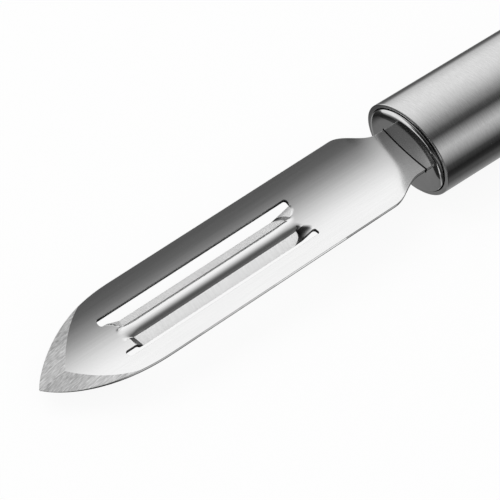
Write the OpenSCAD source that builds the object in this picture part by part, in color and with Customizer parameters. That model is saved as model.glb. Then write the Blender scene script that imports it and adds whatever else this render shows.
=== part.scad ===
// Fixed-blade vegetable peeler with a hollow oval steel handle.
// It lies on its handle as on a table: blade tip toward -X, dished side of the blade up.
// Sizes are in millimetres. The origin is on the table under the middle of the tool.
// Inside the modules x = 0 is the front rim of the handle and z = 0 is the handle axis.

/* [Handle shell] */
// Length of the shell from its front rim to its rear rim
shell_l = 88; // [80:1:110]
// Width of the oval shell, along Y
shell_w = 20.9; // [19:0.1:24]
// Height of the oval section as a share of its width
oval = 0.72; // [0.65:0.01:1]
// Wall thickness of the shell
shell_t = 0.9; // [0.8:0.05:1.2]
// Rounding of the outer edge of each rim
rim_r = 0.35; // [0.2:0.05:0.5]
// Depth of the narrow flat along the underside, on which the handle lies
rest_cut = 0.12; // [0.08:0.01:0.2]

/* [Front cap] */
// How far the polished cap stands out of the front rim
cap_proud = 0.85; // [0.3:0.05:1.5]
// Width of the rounded shoulder round the flat face of the cap
cap_round = 2.1; // [1.2:0.1:3]
// Depth of the sockets in both shell ends, and of the plugs that fill them
plug_l = 7; // [5:0.5:10]
// Radial clearance of both plugs in their sockets
plug_gap = 0.05; // [0.02:0.01:0.15]

/* [Blade sheet] */
// Reach of the blade ahead of the front rim
blade_reach = 83.9; // [75:0.1:92]
// Widest half width of the blade
blade_half = 8.84; // [8.5:0.01:9.5]
// Angle by which the blade dips below the line of the handle
blade_dip = 2.6; // [0:0.1:4]
// Thickness of the blade sheet
sheet_t = 0.8; // [0.7:0.05:1]
// Rise of the long edges above the floor of the dish
dish_rise = 1.75; // [0.8:0.05:2.5]
// Width of the neck and of the tang behind it
neck_w = 11.2; // [9:0.1:13]
// Length of the pointed end
tip_l = 22.1; // [20:0.1:28]
// Distance from the front rim to the start of the shoulders, toward the tip
shoulder_far = 11.4; // [10:0.1:14]
// Distance from the front rim to the end of the shoulders
shoulder_near = 2.5; // [2:0.1:5]
// Clearance of the neck in the slot of the cap, all round
neck_gap = 0.2; // [0.05:0.01:0.3]

/* [Ground tip] */
// Distance from the tip back to the corner where the two ground facets meet
tip_bevel_l = 5.5; // [4:0.1:7]
// Thickness left at the edge of the ground tip
tip_edge_t = 0.15; // [0.1:0.01:0.3]

/* [Slots and cutting strip] */
// Distance from the front rim to the end of the slots near the tip
slot_far = 68.2; // [66:0.1:69]
// Distance from the front rim to the end of the slots near the handle
slot_near = 25.3; // [20:0.1:32]
// Half width of the cutting strip between the slots
strip_half = 3.2; // [2.8:0.05:3.5]
// Width of each slot
slot_w = 1.45; // [1.2:0.05:1.8]
// Corner rounding at the slot ends
slot_r = 0.5; // [0.3:0.05:0.55]
// How far the middle of the strip is pressed down
strip_sink = 0.12; // [0:0.01:0.3]
// How much more its two edges are pressed down
edge_drop = 0.8; // [0.5:0.05:1]
// Length of the ramps at both ends of the strip
ramp_l = 3; // [2:0.1:4]
// Half width of the polished bead left between the two ground wings
bead_half = 1.43; // [1:0.01:1.8]
// Radius of that bead
bead_r = 2.4; // [2.2:0.1:3.5]
// Thickness left at the two cutting edges
edge_t = 0.05; // [0.04:0.01:0.15]

/* [Tang fixing] */
// Length of the two blocks that clamp the tang
clamp_l = 26; // [18:1:32]
// Clearance between the blocks and the wall of the shell
clamp_gap = 0.1; // [0.05:0.01:0.3]
// Radius of the cross pin
pin_r = 1.5; // [1:0.1:2]
// Radial clearance of the pin in its holes
pin_gap = 0.03; // [0.02:0.01:0.08]

/* [Rear cap] */
// Length of the rear cap beyond the rear rim
rear_l = 16; // [14:0.5:22]
// Thickness between the two flats of the hanging lug
lug_t = 6; // [4:0.5:9]
// Radius of the scoops where the flats run out
scoop_r = 5; // [3:0.5:7]
// Radius of the hanging hole
hang_r = 2.5; // [1.5:0.1:3]
// Distance from the hole centre to the rear end
hang_in = 7; // [6:0.5:8]
// Chamfer of the hole mouths
hang_chamfer = 0.4; // [0.2:0.1:0.8]

/* [Hidden] */

$fn = 64;
eps = 0.01;
rim_half = shell_w / 2;
socket_step = 0.2;
bore_half = rim_half - shell_t;
plug_half = bore_half - plug_gap;
inner_half = bore_half - socket_step;
clamp_half = inner_half - clamp_gap;
sheet_half = sheet_t / 2;
tang_end = plug_l + clamp_l;
pin_x = plug_l + clamp_l / 2;
rear_end = shell_l + rear_l;
hang_x = rear_end - hang_in;
tip_x = -blade_reach * cos(blade_dip);
origin_x = -(tip_x + rear_end) / 2;
lift = rim_half * oval - rest_cut;

// Blade outline: a pointed oval end, straight sides, rounded shoulders, a narrow neck.
tip_round = 0.35;
tip_p = 2.315;
tip_q = 0.864;
function ease(v) = let (c = min(1, max(0, v))) c * c * (3 - 2 * c);
function taper(x) =
    let (u = min(1, max(0, (x + blade_reach) / tip_l))) pow(1 - pow(1 - u, tip_p), tip_q);
function shoulder(x) = 1 - ease((x + shoulder_far) / (shoulder_far - shoulder_near));
function half_at(x) = max(tip_round, neck_w / 2 + (blade_half * taper(x) - neck_w / 2) * shoulder(x));

// The dish fades out toward the cap, so that the neck is flat.
fade_far = 11;
function fade(x) = 1 - ease((x + fade_far) / (fade_far - cap_proud));
function dish(x, y) = sheet_half + dish_rise * fade(x) * pow(y / blade_half, 2);

// The strip between the slots is pressed down, most at its edges, with a ramp at each end.
function pressed_share(x) = ease((x + slot_far) / ramp_l) * ease((-slot_near - x) / ramp_l);
function pressed(x, y) =
    dish(x, y) - pressed_share(x) * (strip_sink + edge_drop * pow(y / strip_half, 2));

// Its upper side has a round bead along the middle and two wings, ground from the bead down to
// the cutting edges. Bead and wings end in slopes that lead softly into the dish.
bead_top = sheet_half - strip_sink;
function bead(y) = bead_top - bead_r + sqrt(bead_r * bead_r - y * y);
edge_z = sheet_half + dish_rise * pow(strip_half / blade_half, 2) - strip_sink - edge_drop
    - sheet_t + edge_t;
function wing(y) =
    bead(bead_half) + (edge_z - bead(bead_half)) * (y - bead_half) / (strip_half - bead_half);
// The slopes toward the tip differ: on the -Y side they grow steeper toward the cutting edge.
run_far = 3.5;
run_near = 2.7;
slope_near = 0.42;
function side(y) = min(1, max(-1, y / bead_half));
function slope_far(y, w) = 0.705 + 0.095 * side(y) + (y < 0 ? 0.24 : -0.15) * w;
function bead_lift(x) = strip_sink * (1
    - ease((x + slot_far - run_far) / ramp_l) * ease((-slot_near - run_near - x) / ramp_l));
function run_out(x, y, w) = max(0, slope_far(y, w) * (run_far + 0.4 * w - x - slot_far),
    slope_near * (x + slot_near + run_near + 0.3 * w * w * w));
function ground(x, y) = let (w = max(0, abs(y) - bead_half))
    (abs(y) < bead_half ? bead(y) : wing(abs(y))) + run_out(x, y, w)
    + bead_lift(x) * max(0, 1 - w / (strip_half - bead_half));
function soft(y) = 0.04 + 0.18 * abs(side(y));
function strip_top(x, y) =
    let (a = dish(x, y), b = ground(x, y), h = max(0, soft(y) - abs(a - b)))
    min(a, b) - h * h / 4 / soft(y);

strip_edge = strip_half + 0.05;
// Behind the rim the tang bends into the line of the handle.
function tang_bend(x) = -max(0, x) * tan(blade_dip);
function top_z(x, y) = tang_bend(x) +
    (abs(y) > strip_edge + eps || x < -slot_far || x > -slot_near ? dish(x, y) : strip_top(x, y));
function bottom_z(x, y) = tang_bend(x) +
    (abs(y) > strip_edge + eps ? dish(x, y) : pressed(x, y)) - sheet_t;

// Stations along the sheet, and rows across it that keep to the strip and the slots.
tip_steps = 14;
ramp_steps = 8;
mid_steps = 6;
plain_steps = 4;
shoulder_steps = 13;
stations = concat(
    [for (i = [0:tip_steps - 1]) -blade_reach + (blade_reach - slot_far) * pow(i / tip_steps, 1.6)],
    [for (i = [0:ramp_steps - 1]) -slot_far + 1.4 * ramp_l * i / ramp_steps],
    [for (i = [0:mid_steps - 1])
        -slot_far + 1.4 * ramp_l + (slot_far - slot_near - 3.8 * ramp_l) * i / mid_steps],
    [for (i = [0:2 * ramp_steps - 1]) -slot_near - 2.4 * ramp_l * (1 - i / 2 / ramp_steps)],
    [for (i = [0:plain_steps - 1]) -slot_near + (slot_near - shoulder_far) * i / plain_steps],
    [for (i = [0:shoulder_steps]) -shoulder_far + (shoulder_far - cap_proud) * i / shoulder_steps],
    [0, tang_end * cos(blade_dip)]);
slot_half = strip_half + slot_w;
rail_edge = slot_half - 0.05;
row_limit = 8.2;
half_rows = concat(
    [for (k = [1:3]) bead_half * k / 3],
    [for (k = [1:3]) bead_half + (strip_edge - bead_half) * k / 3],
    [rail_edge]);
rail_steps = 4;
function row_y(x, k) =
    let (h = half_at(x), s = min(1, h / row_limit), n = len(half_rows))
    k < n ? half_rows[k] * s : rail_edge * s + (h - rail_edge * s) * (k - n + 1) / rail_steps;
row_count = len(half_rows) + rail_steps;
function rows_at(x) = concat(
    [for (k = [row_count - 1:-1:0]) -row_y(x, k)], [0], [for (k = [0:row_count - 1]) row_y(x, k)]);
row_total = 2 * row_count + 1;

// A closed slab between an upper and a lower grid of points, given row by row.
module slab(upper, lower) {
    n = len(upper);
    m = len(upper[0]);
    flat = concat([for (r = upper) each r], [for (r = lower) each r]);
    o = n * m;
    polyhedron(points = flat, faces = concat(
        [for (i = [0:n - 2], j = [0:m - 2]) [i * m + j, i * m + j + 1, (i + 1) * m + j]],
        [for (i = [0:n - 2], j = [0:m - 2]) [(i + 1) * m + j, i * m + j + 1, (i + 1) * m + j + 1]],
        [for (i = [0:n - 2], j = [0:m - 2]) [o + i * m + j, o + (i + 1) * m + j, o + i * m + j + 1]],
        [for (i = [0:n - 2], j = [0:m - 2])
            [o + (i + 1) * m + j, o + (i + 1) * m + j + 1, o + i * m + j + 1]],
        [for (i = [0:n - 2]) [i * m, (i + 1) * m, o + i * m]],
        [for (i = [0:n - 2]) [(i + 1) * m, o + (i + 1) * m, o + i * m]],
        [for (i = [0:n - 2]) [i * m + m - 1, o + i * m + m - 1, (i + 1) * m + m - 1]],
        [for (i = [0:n - 2]) [(i + 1) * m + m - 1, o + i * m + m - 1, o + (i + 1) * m + m - 1]],
        [for (j = [0:m - 2]) [j, o + j, j + 1]],
        [for (j = [0:m - 2]) [j + 1, o + j, o + j + 1]],
        [for (j = [0:m - 2]) [(n - 1) * m + j, (n - 1) * m + j + 1, o + (n - 1) * m + j]],
        [for (j = [0:m - 2]) [(n - 1) * m + j + 1, o + (n - 1) * m + j + 1, o + (n - 1) * m + j]]));
}

module sheet() {
    slab([for (x = stations) [for (y = rows_at(x)) [x, y, top_z(x, y)]]],
        [for (x = stations) [for (y = rows_at(x)) [x, y, bottom_z(x, y)]]]);
}

// One slot seen from above, a bar with rounded corners.
module slot_plan() {
    for (x = [-slot_far + slot_r, -slot_near - slot_r], y = [strip_half + slot_r, slot_half - slot_r])
        translate([x, y]) circle(r = slot_r);
    translate([-slot_far + slot_r, strip_half]) square([slot_far - slot_near - 2 * slot_r, slot_w]);
    translate([-slot_far, strip_half + slot_r])
        square([slot_far - slot_near, slot_w - 2 * slot_r]);
}

// Cutter for one facet of the ground tip. The facet's inner line is a flat arc that starts on the
// middle line, and the cut goes deeper the farther it is outside of that arc.
facet_x = -blade_reach + tip_bevel_l;
arc_rise = 1.335;
arc_bow = 0.049;
function arc_y(u) = arc_rise * u - arc_bow * u * u;
function arc_slope(u) = arc_rise - 2 * arc_bow * u;
function facet_out(x, y) =
    let (u = x - facet_x) (y - arc_y(u)) / norm([1, arc_slope(u)]);
facet_depth = (sheet_t - tip_edge_t) / facet_out(-blade_reach, 0);
function facet_point(u, s) = let (n = norm([1, arc_slope(u)]))
    [facet_x + u - s * arc_slope(u) / n, arc_y(u) + s / n];
module facet_cutter() {
    us = [for (i = [0:16]) -4.8 + 16 * i / 16];
    ss = [for (k = [-1:6]) k * tip_bevel_l / 6];
    slab([for (u = us) [for (s = ss) let (p = facet_point(u, s)) [p[0], p[1], 3 * dish_rise]]],
        [for (u = us) [for (s = ss) let (p = facet_point(u, s))
            [p[0], p[1], dish(p[0], p[1]) - facet_depth * facet_out(p[0], p[1])]]]);
}

module blade() {
    color("silver") difference() {
        rotate([0, -blade_dip, 0]) difference() {
            sheet();
            for (m = [0, 1]) mirror([0, m, 0]) {
                translate([0, 0, -3 * sheet_t]) linear_extrude(height = 6 * sheet_t) slot_plan();
                facet_cutter();
            }
        }
        translate([pin_x, 0, -sheet_t]) cylinder(r = pin_r + pin_gap, h = 2 * sheet_t);
    }
}

// Turned forms lie along X, as two half turns, and are pressed to the oval section.
module oval_turned() {
    for (a = [0, 180]) rotate([a, 0, 0]) scale([1, 1, oval]) rotate([0, 90, 0])
        rotate_extrude(angle = 180, $fn = 96) children();
}

// What a fillet of the given radius takes off an outer corner at radius r and height h.
module corner_cut(r, h, round_r) {
    difference() {
        translate([r - round_r, h - 1]) square([round_r + 1, round_r + 1]);
        translate([r - round_r, h + round_r]) circle(r = round_r);
    }
}

// The flat under the shell rises a little toward both rims.
rest_ease = 2;
ease_slope = 2;
module rest_level() {
    translate([0, 0, rest_cut - rim_half * oval]) children();
}

module handle_shell() {
    color("gray") difference() {
        oval_turned() difference() {
            translate([inner_half, 0]) square([rim_half - inner_half, shell_l]);
            translate([0, -1]) square([bore_half, plug_l + 1]);
            translate([0, shell_l - plug_l]) square([bore_half, plug_l + 1]);
            corner_cut(rim_half, 0, rim_r);
            translate([0, shell_l]) mirror([0, 1]) corner_cut(rim_half, 0, rim_r);
        }
        rest_level() translate([-1, -shell_w, -shell_w]) cube([shell_l + 2, 2 * shell_w, shell_w]);
        rest_level() translate([rest_ease, 0, 0]) rotate([0, ease_slope, 0])
            translate([-rest_ease - 1, -shell_w, -shell_w]) cube([rest_ease + 1, 2 * shell_w, shell_w]);
        rest_level() translate([shell_l - rest_ease, 0, 0]) rotate([0, -ease_slope, 0])
            translate([0, -shell_w, -shell_w]) cube([rest_ease + 1, 2 * shell_w, shell_w]);
    }
}

// A closed solid through oval rings; each ring is [x, half width, half height].
module loft(rings) {
    m = 72;
    n = len(rings);
    polyhedron(points = [for (r = rings) for (j = [0:m - 1])
            [r[0], r[1] * sin(360 * j / m), r[2] * cos(360 * j / m)]],
        faces = concat([[for (j = [0:m - 1]) j]], [[for (j = [m - 1:-1:0]) (n - 1) * m + j]],
            [for (i = [0:n - 2], j = [0:m - 1]) [i * m + j, (i + 1) * m + j, i * m + (j + 1) % m]],
            [for (i = [0:n - 2], j = [0:m - 1])
                [(i + 1) * m + j, (i + 1) * m + (j + 1) % m, i * m + (j + 1) % m]]));
}

// The cap is an oval plug. Its rounded shoulder is as wide at the top as at the sides.
function shoulder_ring(x, out) = [x, plug_half - cap_round + out, plug_half * oval - cap_round + out];
module front_cap() {
    color("lightgray") difference() {
        intersection() {
            translate([-cap_proud - 1, 0, 0]) oval_turned() square([plug_half, cap_proud + plug_l + 1]);
            loft(concat(
                [for (a = [0:12:72]) shoulder_ring(-cap_proud * cos(a), cap_round * sin(a))],
                [shoulder_ring(0, cap_round + 0.1), shoulder_ring(plug_l + 1, cap_round + 0.1)]));
        }
        translate([-cap_proud - 1, -neck_w / 2 - neck_gap, -sheet_half - neck_gap])
            cube([cap_proud + plug_l + 2, neck_w + 2 * neck_gap, sheet_t + 2 * neck_gap]);
    }
}

// Half of an oval block that fills one side of the shell beside the tang.
module clamp_half_block() {
    difference() {
        intersection() {
            translate([plug_l, 0, 0]) oval_turned() square([clamp_half, clamp_l]);
            translate([plug_l, -shell_w, sheet_half]) cube([clamp_l, 2 * shell_w, shell_w]);
        }
        translate([pin_x, 0, 0]) cylinder(r = pin_r + pin_gap, h = shell_w);
    }
}

module clamp_top() {
    color("dimgray") clamp_half_block();
}

module clamp_bottom() {
    color("dimgray") mirror([0, 0, 1]) clamp_half_block();
}

module tang_pin() {
    pin_half = clamp_half * oval - 2 * clamp_gap;
    color("silver") translate([pin_x, 0, -pin_half]) cylinder(r = pin_r, h = 2 * pin_half);
}

// Removes what lies above one flat of the hanging lug, with a scoop at its front.
module flat_cut() {
    scoop_x = shell_l + scoop_r + 1.5;
    translate([scoop_x, shell_w, lug_t / 2 + scoop_r]) rotate([90, 0, 0])
        cylinder(r = scoop_r, h = 2 * shell_w);
    translate([scoop_x, -shell_w, lug_t / 2]) cube([rear_l, 2 * shell_w, shell_w]);
    translate([scoop_x - scoop_r, -shell_w, lug_t / 2 + scoop_r])
        cube([rear_l + scoop_r, 2 * shell_w, shell_w]);
}

module rear_cap() {
    color("lightgray") difference() {
        union() {
            translate([shell_l - plug_l, 0, 0]) oval_turned() square([plug_half, plug_l]);
            intersection() {
                translate([shell_l, 0, 0]) scale([rear_l / plug_half, 1, oval]) sphere(r = plug_half);
                translate([shell_l - eps, -shell_w, -shell_w])
                    cube([rear_l + 1, 2 * shell_w, 2 * shell_w]);
            }
        }
        flat_cut();
        mirror([0, 0, 1]) flat_cut();
        translate([hang_x, 0, -lug_t]) cylinder(r = hang_r, h = 2 * lug_t);
        for (m = [0, 1]) mirror([0, 0, m]) translate([hang_x, 0, lug_t / 2 - hang_chamfer])
            cylinder(r1 = hang_r, r2 = hang_r + hang_chamfer + eps, h = hang_chamfer + eps);
    }
}

translate([origin_x, 0, lift]) {
    blade();
    front_cap();
    handle_shell();
    clamp_top();
    clamp_bottom();
    tang_pin();
    rear_cap();
}
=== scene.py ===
import math

import bpy
import numpy as np
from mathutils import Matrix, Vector, geometry
from mathutils.kdtree import KDTree


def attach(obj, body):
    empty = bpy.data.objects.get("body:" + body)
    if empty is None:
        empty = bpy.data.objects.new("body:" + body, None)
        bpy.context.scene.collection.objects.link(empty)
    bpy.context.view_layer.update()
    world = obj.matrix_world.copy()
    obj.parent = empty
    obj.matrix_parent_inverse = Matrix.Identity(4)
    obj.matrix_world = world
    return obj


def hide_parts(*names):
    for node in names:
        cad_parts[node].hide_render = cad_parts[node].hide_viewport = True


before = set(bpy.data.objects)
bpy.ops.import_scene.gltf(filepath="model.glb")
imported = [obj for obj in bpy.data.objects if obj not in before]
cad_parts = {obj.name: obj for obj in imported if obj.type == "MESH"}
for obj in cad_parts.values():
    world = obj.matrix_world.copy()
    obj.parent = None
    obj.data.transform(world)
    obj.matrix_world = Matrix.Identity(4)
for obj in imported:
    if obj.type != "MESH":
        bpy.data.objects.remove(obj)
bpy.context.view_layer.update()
MM = 0.001

# Sizes of the solids in millimetres, with the values of the part's source.
# In the functions below, the tip lies toward -X, x = 0 is the handle's front rim and z = 0 its axis.
SHELL_L = 88.0  # length of the shell
RIM_HALF = 10.45  # half width of the shell
OVAL = 0.72  # height of the oval section as a share of its width
RIM_R = 0.35  # rounding of the shell's rear rim
BORE_HALF = 9.55  # half width of the sockets at both ends of the shell
INNER_HALF = 9.35  # half width of the hollow between them
PLUG_HALF = 9.5  # half width of the plugs in the sockets
PLUG_L = 7.0  # depth of the sockets
REST_CUT = 0.12  # depth of the flat under the shell
REST_EASE = 2.0  # length at both ends over which the flat rises
EASE_SLOPE = 2.0  # slope of that rise in degrees
CAP_PROUD = 0.85  # how far the cap stands out of the rim
CAP_ROUND = 2.1  # width of the cap's rounded shoulder
NECK_W = 11.2  # width of the neck and the tang
NECK_GAP = 0.2  # clearance of the neck in the cap's slot
REACH = 83.9  # length of the blade ahead of the rim
HALF = 8.84  # widest half width of the blade
DIP = 2.6  # angle in degrees by which the blade dips
SHEET = 0.8  # thickness of the sheet
RISE = 1.75  # rise of the dish at its long edges
TIP_L = 22.1  # length of the pointed end
TIP_ROUND = 0.35  # radius of its nose
TIP_P, TIP_Q = 2.315, 0.864  # powers that shape the pointed end
SHOULDER_FAR, SHOULDER_NEAR = 11.4, 2.5  # ends of the shoulders, ahead of the rim
SLOT_FAR, SLOT_NEAR = 68.2, 25.3  # ends of the slots, ahead of the rim
STRIP = 3.2  # half width of the strip between the slots
SLOT_W = 1.45  # width of a slot
SLOT_R = 0.5  # corner rounding of a slot
SINK = 0.12  # how far the middle of the strip is pressed down
DROP = 0.8  # how much more its edges are pressed down
RAMP = 3.0  # length of the ramps at both ends of the strip
BEAD = 1.43  # half width of the polished bead
BEAD_R = 2.4  # radius of the bead
EDGE_T = 0.05  # thickness of the cutting edges
RUN_FAR, RUN_NEAR = 3.5, 2.7  # from the slots' ends to the ends of the ground wings
FAR_SKEW, NEAR_SKEW = 0.4, 0.3  # how these ends lean away from the bead
SLOPE_FAR, SLOPE_NEAR = 0.705, 0.42  # steepness of the slopes at both ends of the strip
SLOPE_SIDE = 0.095  # how the far slope grows toward +Y over the bead
SLOPE_MINUS, SLOPE_PLUS = 0.24, -0.15  # how it changes outward over the wings on the -Y and the +Y side
TIP_BEVEL = 5.5  # from the tip to the corner of the ground facets
TIP_EDGE = 0.15  # thickness of the ground tip's edge
ARC_RISE, ARC_BOW = 1.335, 0.049  # slope and bend of the ground facets' inner lines
TANG_END = 33.0  # end of the tang inside the handle
REAR_END = SHELL_L + 16.0  # rear end of the handle

# Forms left to this script, in millimetres.
NECK_SHARE = 0.55  # share of the dish that is left where the neck enters the cap
FADE_FAR = 9.0  # where the dish starts to fade, ahead of the rim
BORE_R, FRONT_R = 0.12, 0.16  # rounding of the shell's front edge, inside and outside
CAP_SETBACK = 0.02  # step from the cap's shoulder into the groove beside the shell
CAP_TURN = 70  # angle in degrees over which the cap's shoulder is rounded
GROOVE_START, GROOVE_END = -0.15, 0.5  # ends of the cap's wall that is set back for the groove
PLUG_START = 1.0  # where the plug behind it has its full width
EDGE_R = 0.07  # greatest rounding of the sheet's rims
EDGE_SHARE, EDGE_LEAST = 0.4, 0.004  # the rounding as a share of the thickness there, and the least one
STRIP_SIDE = STRIP + 0.055  # half width within which a point belongs to the strip
FAR_BOW = 0.5  # how much nearer to the tip the far slope starts in its middle
BEND_LEAST, BEND_MORE = 0.02, 0.8  # length over which the slopes start, at the bead's edges and more inside
SOFT, SOFT_SIDE, SOFT_END = 0.16, 0.06, 0.5  # softness of the line between the slopes and the dish
SOFT_REACH, SOFT_FADE = 5.0, 2.5  # reach of the soft far end from the slots' end, and where it fades
SOFT_POWER = 30  # keeps that soft end to the bead
ARC_END = 13.0  # length of the ground facets' inner lines
TIP_ZONE = -60  # the ground tip lies beyond this

# Fine lines and areas of painted shade on the blade, in millimetres.
SHADE_LINE = 0.19  # width of the line of painted groove shade beside the +Y wing
WALL_SHADE = 0.32  # share of the outer walls that has painted shade along their lower edge
FAR_DARK, FAR_LEAN = 1.05, 0.15  # length of the far slope's painted dark shade, and its lean over the wings
NEAR_DARK, NEAR_LEAN = 1.76, 0.5  # where the near slope's painted dark shade ends, and its lean
FLANK_EDGE, NEAR_EDGE = 0.12, 0.06  # depths under the dish at which the slopes' painted shades start
BEAD_DARK = 0.85  # share of the bead's half width outside of which its near slope has painted dark shade on the -Y side
FLANK_IN = 0.5  # start of the painted dark line along the +Y wing's far end, outward of the bead
NEAR_GREY = 0.9  # length of the near slope's grey painted shade on the +Y side
NEAR_PLAIN = 0.5  # length of the near slope whose painted shade stays dark before it fades
FADE_FROM, FADE_TO = -37.8, -35.4  # where the near slope's painted shade fades into polished steel, in the frame

DIP_A = math.radians(DIP)
ORIGIN_X = -(-REACH * math.cos(DIP_A) + REAR_END) / 2
LIFT = RIM_HALF * OVAL - REST_CUT


# Helpers for meshes


def new_object(name, verts, faces, normals=None, mats=(), looks=None):
    """A mesh piece in metres from points in millimetres, with its own corner normals."""
    mesh = bpy.data.meshes.new(name)
    mesh.from_pydata([tuple(v) for v in np.asarray(verts) * MM], [], [tuple(f) for f in faces])
    for mat in mats:
        mesh.materials.append(mat)
    if looks is not None:
        mesh.polygons.foreach_set("material_index", np.asarray(looks, dtype=np.int32))
    mesh.polygons.foreach_set("use_smooth", [True] * len(mesh.polygons))
    mesh.update()
    if normals is not None:
        mesh.normals_split_custom_set([tuple(n) for n in normals])
    ob = bpy.data.objects.new(name, mesh)
    bpy.context.scene.collection.objects.link(ob)
    return ob


def place(points):
    """Points set in the row's frame."""
    return np.asarray(points) + np.array([ORIGIN_X, 0, LIFT])


def unit(v):
    """Vectors of length 1."""
    v = np.asarray(v, float)
    return v / np.maximum(np.linalg.norm(v, axis=-1, keepdims=True), 1e-12)


# Helpers for nodes


def feed(tree, node, sockets):
    """Gives each input in sockets its value, or a link from another node's output."""
    for key, value in sockets.items():
        if isinstance(value, bpy.types.NodeSocket):
            tree.links.new(value, node.inputs[key])
        else:
            node.inputs[key].default_value = value


def material(name):
    """A new material, its node tree and its shader."""
    mat = bpy.data.materials.new(name)
    mat.use_nodes = True
    return mat, mat.node_tree, mat.node_tree.nodes["Principled BSDF"]


def emission_material(name):
    """A new material that only gives light, its node tree and its shader."""
    mat = bpy.data.materials.new(name)
    mat.use_nodes = True
    tree = mat.node_tree
    tree.nodes.clear()
    glow = tree.nodes.new("ShaderNodeEmission")
    feed(tree, tree.nodes.new("ShaderNodeOutputMaterial"), {"Surface": glow.outputs["Emission"]})
    return mat, tree, glow


def axes(tree):
    """X, Y and Z of the object's own coordinates, in metres."""
    split = tree.nodes.new("ShaderNodeSeparateXYZ")
    feed(tree, split, {0: tree.nodes.new("ShaderNodeTexCoord").outputs["Object"]})
    return split.outputs["X"], split.outputs["Y"], split.outputs["Z"]


def coords(tree, stretch, turn=0.0):
    """The object's own coordinates, turned about Z and then stretched along each axis."""
    mapping = tree.nodes.new("ShaderNodeMapping")
    feed(tree, mapping, {"Vector": tree.nodes.new("ShaderNodeTexCoord").outputs["Object"]})
    if turn:
        # A mapping of this type turns first, and then divides by its scale.
        mapping.vector_type = "TEXTURE"
        feed(tree, mapping, {"Rotation": (0, 0, turn), "Scale": tuple(1 / v for v in stretch)})
    else:
        feed(tree, mapping, {"Scale": stretch})
    return mapping.outputs["Vector"]


def noise(tree, vector, detail=3.0, rough=0.65):
    node = tree.nodes.new("ShaderNodeTexNoise")
    feed(tree, node, {"Vector": vector, "Scale": 1.0, "Detail": detail, "Roughness": rough})
    return node.outputs["Fac"]


def spread(tree, value, low, high, start=0.3, end=0.7, kind="LINEAR"):
    """Turns start to end into low to high."""
    node = tree.nodes.new("ShaderNodeMapRange")
    node.interpolation_type = kind
    feed(tree, node, {"Value": value, "From Min": start, "From Max": end, "To Min": low, "To Max": high})
    return node.outputs["Result"]


def blend(tree, share, first, second, kind="RGBA"):
    node = tree.nodes.new("ShaderNodeMix")
    node.data_type = kind
    feed(tree, node, {"Factor": share, "A": first, "B": second})
    return node.outputs["Result"]


def calc(tree, operation, *values):
    node = tree.nodes.new("ShaderNodeMath")
    node.operation = operation
    feed(tree, node, dict(enumerate(values)))
    return node.outputs[0]


def ramp(tree, share, stops):
    """A ramp over 0 to 1 from pairs of a share and a colour."""
    node = tree.nodes.new("ShaderNodeValToRGB")
    elements = node.color_ramp.elements
    while len(elements) > 1:
        elements.remove(elements[-1])
    for i, (position, colour) in enumerate(stops):
        element = elements.new(position) if i else elements[0]
        element.position = position
        element.color = (*colour, 1)
    feed(tree, node, {"Fac": share})
    return node.outputs["Color"]


def levels(tree, share, stops):
    """Grey levels from pairs of a place and a level, where the share 0 to 1 runs over all the places."""
    low, high = stops[0][0], stops[-1][0]
    return ramp(tree, share, [((at - low) / (high - low), (level,) * 3) for at, level in stops])


def bump(tree, shader, height, depth):
    node = tree.nodes.new("ShaderNodeBump")
    feed(tree, node, {"Strength": 1.0, "Distance": depth, "Height": height})
    feed(tree, shader, {"Normal": node.outputs["Normal"]})


# Materials. A stretch is the frequency of the grain per metre along each axis.
EVEN = (900, 900, 900)
CLOUD = (90, 90, 90)
CLOUD_SHARE = 0.25


def steel(name, stretch, dark, light, rough, metallic=1.0, depth=2e-6,
          turn=0.0, detail=3.0, ends=(0.3, 0.7)):
    """Steel with fine grain: two greys, two roughnesses, the grain's depth in metres, the angle by which the
    grain is turned, and the ends of the noise between which one grey turns into the other."""
    mat, tree, shader = material(name)
    grain = noise(tree, coords(tree, stretch, turn), detail)
    cloud = noise(tree, coords(tree, CLOUD), detail=2.0, rough=0.5)
    mixed = blend(tree, CLOUD_SHARE, grain, cloud, "FLOAT")
    colour = ramp(tree, mixed, [(ends[0], (dark,) * 3), (ends[1], (light,) * 3)])
    feed(tree, shader, {"Metallic": metallic, "Base Color": colour,
                        "Roughness": spread(tree, mixed, *rough)})
    bump(tree, shader, grain, depth)
    return mat


def fading_steel(name, start, end):
    """Near black and rough at start, polished at end, in millimetres along the row: painted shade that fades
    out.
    """
    mat, tree, shader = material(name)
    along = spread(tree, axes(tree)[0], 0.0, 0.9, start * MM, end * MM)
    shine = calc(tree, "MULTIPLY_ADD", noise(tree, coords(tree, EVEN)), 0.2, along)
    colour = ramp(tree, shine, [(0.1, (0.05,) * 3), (1.0, (0.9,) * 3)])
    rough = spread(tree, shine, 0.4, 0.16, 0.1, 1.0)
    feed(tree, shader, {"Metallic": 1.0, "Base Color": colour, "Roughness": rough})
    return mat


def moulded(name):
    """Dark polymer with a fine grain."""
    mat, tree, shader = material(name)
    grain = noise(tree, coords(tree, EVEN), 4.0, 0.6)
    colour = ramp(tree, grain, [(0.3, (0.05, 0.05, 0.055)), (0.7, (0.08, 0.08, 0.085))])
    feed(tree, shader, {"Base Color": colour, "Roughness": spread(tree, grain, 0.5, 0.7)})
    bump(tree, shader, grain, 1e-5)
    return mat


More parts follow.
